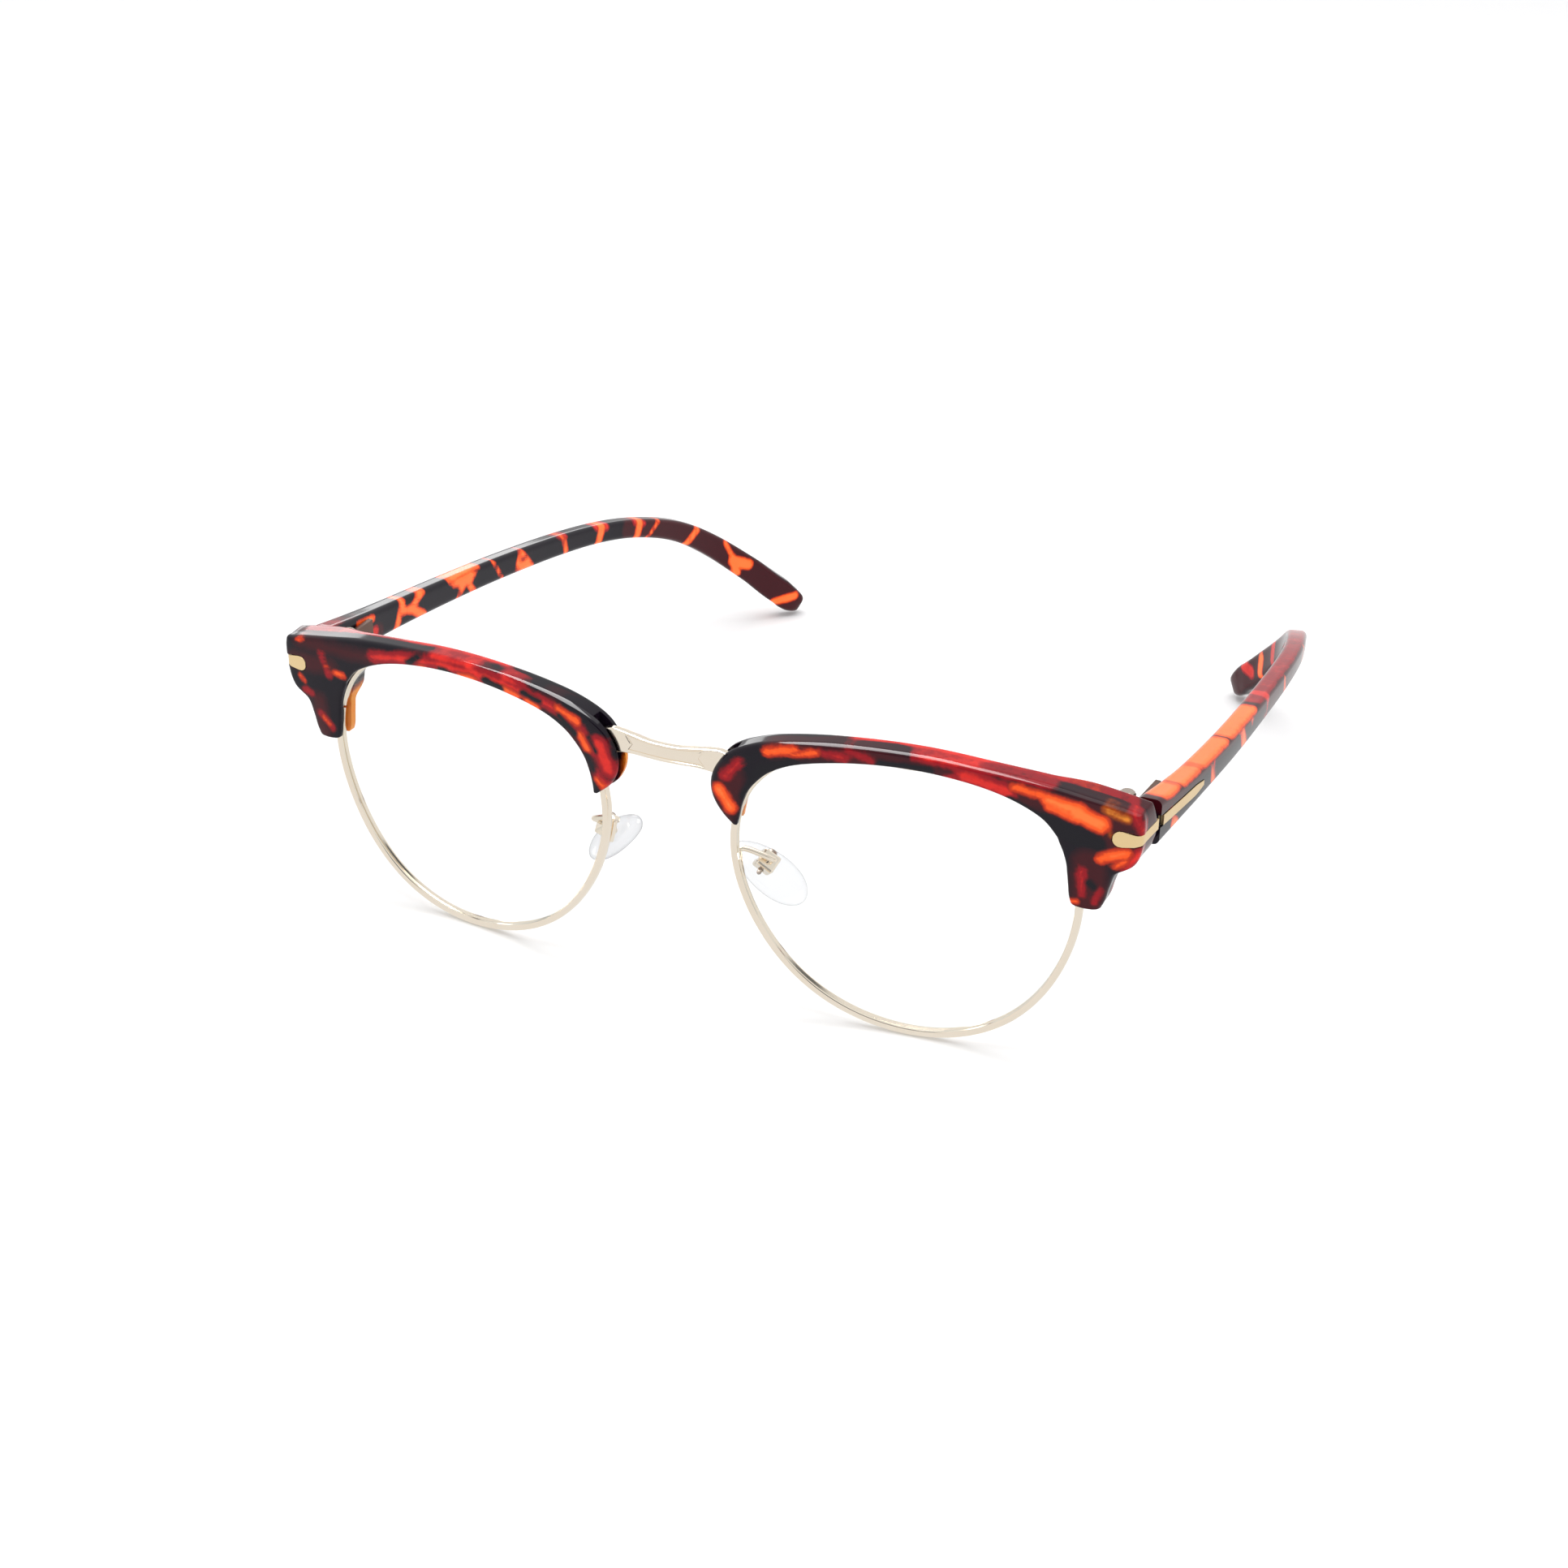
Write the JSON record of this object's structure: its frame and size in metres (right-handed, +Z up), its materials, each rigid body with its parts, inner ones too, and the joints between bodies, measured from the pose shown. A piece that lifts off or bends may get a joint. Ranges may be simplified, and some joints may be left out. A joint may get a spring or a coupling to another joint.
{
  "type": "half rim eyeglasses",
  "caption": "Browline spectacles: metal eyewires and bridge under tortoiseshell brow bars, clear lenses, adjustable nose pads and folding temples.",
  "frame": {"origin": "middle of the bounding box at its base, the plane that the rims and the temple tips rest on", "axes": "+X to the wearer's left, +Y from the front back along the temples, +Z up"},
  "size_m": [0.142, 0.1512, 0.0472],
  "materials": {
    "tortoise": "polished tortoiseshell acetate",
    "champagne_gold": "polished pale gold plate",
    "inlay_gold": "brushed gold",
    "hinge_metal": "satin plated",
    "screw_steel": "bright",
    "clear_lens": "clear, coated",
    "pad_silicone": "clear silicone"
  },
  "bodies": {
    "frame": {"bridge": "champagne_gold", "left_brow": "tortoise", "left_brow_inlay": "inlay_gold", "left_brow_screw_nasal": "screw_steel", "left_brow_screw_temporal": "screw_steel", "left_closing_block_lower": "champagne_gold", "left_closing_block_upper": "champagne_gold", "left_closing_screw": "screw_steel", "left_eyewire": "champagne_gold", "left_front_hinge": "hinge_metal", "left_hinge_screw": "screw_steel", "left_lens": "clear_lens", "left_pad_arm": "champagne_gold", "left_pad_box": "champagne_gold", "left_pad_screw": "screw_steel", "right_brow": "tortoise", "right_brow_inlay": "inlay_gold", "right_brow_screw_nasal": "screw_steel", "right_brow_screw_temporal": "screw_steel", "right_closing_block_lower": "champagne_gold", "right_closing_block_upper": "champagne_gold", "right_closing_screw": "screw_steel", "right_eyewire": "champagne_gold", "right_front_hinge": "hinge_metal", "right_hinge_screw": "screw_steel", "right_lens": "clear_lens", "right_pad_arm": "champagne_gold", "right_pad_box": "champagne_gold", "right_pad_screw": "screw_steel"},
    "left_temple": {"left_temple": "tortoise", "left_temple_hinge": "hinge_metal", "left_temple_inlay": "inlay_gold"},
    "right_temple": {"right_temple": "tortoise", "right_temple_hinge": "hinge_metal", "right_temple_inlay": "inlay_gold"},
    "left_pad": {"left_nose_pad": "pad_silicone"},
    "right_pad": {"right_nose_pad": "pad_silicone"}
  },
  "joints": [
    {"name": "left_temple_fold", "type": "hinge", "parent": "frame", "child": "left_temple", "pos_m": [0.0646, -0.05919, 0.0381], "axis": [0, 0, 1], "range_deg": [0, 84]},
    {"name": "right_temple_fold", "type": "hinge", "parent": "frame", "child": "right_temple", "pos_m": [-0.0646, -0.05919, 0.0381], "axis": [0, 0, -1], "range_deg": [0, 75]},
    {"name": "left_pad_rock", "type": "hinge", "parent": "frame", "child": "left_pad", "pos_m": [0.01321, -0.06786, 0.02242], "axis": [0.1974, 0.8201, 0.5371], "range_deg": [-8, 8]},
    {"name": "right_pad_rock", "type": "hinge", "parent": "frame", "child": "right_pad", "pos_m": [-0.01321, -0.06786, 0.02242], "axis": [-0.1974, 0.8201, 0.5371], "range_deg": [-8, 8]}
  ]
}
